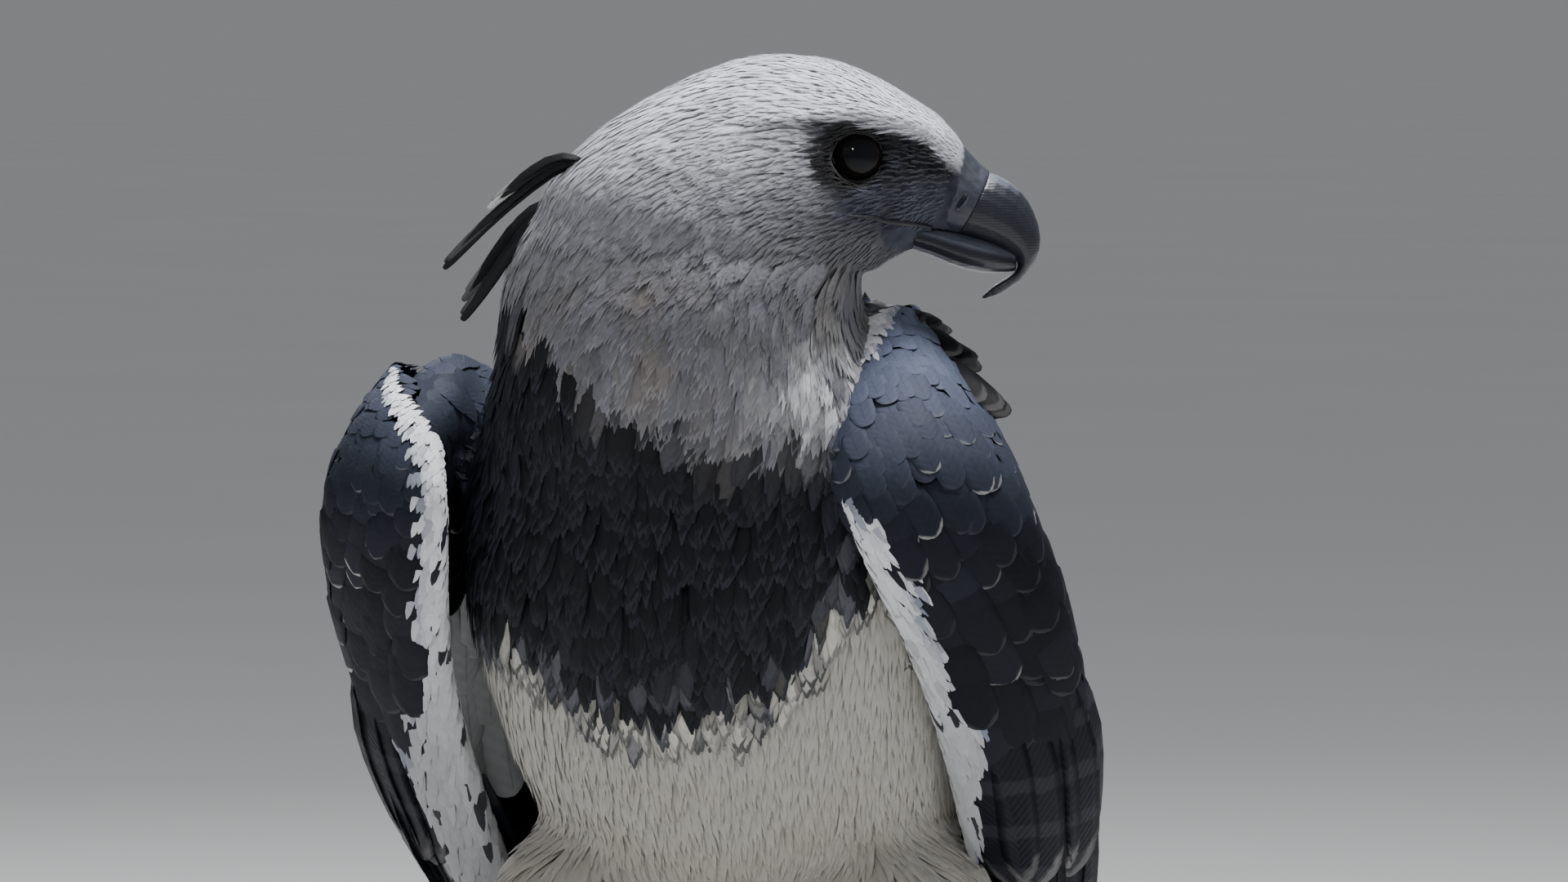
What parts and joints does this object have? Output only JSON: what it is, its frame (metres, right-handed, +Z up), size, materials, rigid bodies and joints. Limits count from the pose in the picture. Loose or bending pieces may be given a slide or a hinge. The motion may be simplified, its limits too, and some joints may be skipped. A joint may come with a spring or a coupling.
{
  "type": "harpy eagle model",
  "caption": "Life-size still model of a standing harpy eagle with folded wings, its head turned to its left and its divided crest laid back.",
  "frame": {"origin": "middle of the underside of the whole model's box, on the floor it stands on", "axes": "+Z up; the breast faces -Y and the bird's left side is at +X, which is also where the bill points"},
  "size_m": [0.3394, 0.6064, 0.6905],
  "materials": {
    "plumage_dark": "soft slate black feathers with fine pale edges",
    "plumage_grey": "soft blue grey feathers",
    "plumage_pale": "soft off-white down and feathers",
    "horn": "satin black horn",
    "cere": "satin slate skin",
    "eye": "wet, very dark",
    "leg_skin": "scaled yellow skin"
  },
  "bodies": {
    "root": {"torso": "plumage_pale", "neck": "plumage_grey", "head": "plumage_grey", "crest": "plumage_dark", "cere": "cere", "bill_upper": "horn", "bill_lower": "horn", "eye_left": "eye", "eye_right": "eye", "wing_left": "plumage_dark", "wing_right": "plumage_dark", "tail": "plumage_dark", "thigh_left": "plumage_pale", "thigh_right": "plumage_pale", "shank_left": "leg_skin", "shank_right": "leg_skin", "foot_left": "leg_skin", "foot_right": "leg_skin", "claw_inner_left": "horn", "claw_middle_left": "horn", "claw_outer_left": "horn", "claw_hind_left": "horn", "claw_inner_right": "horn", "claw_middle_right": "horn", "claw_outer_right": "horn", "claw_hind_right": "horn"}
  },
  "joints": []
}
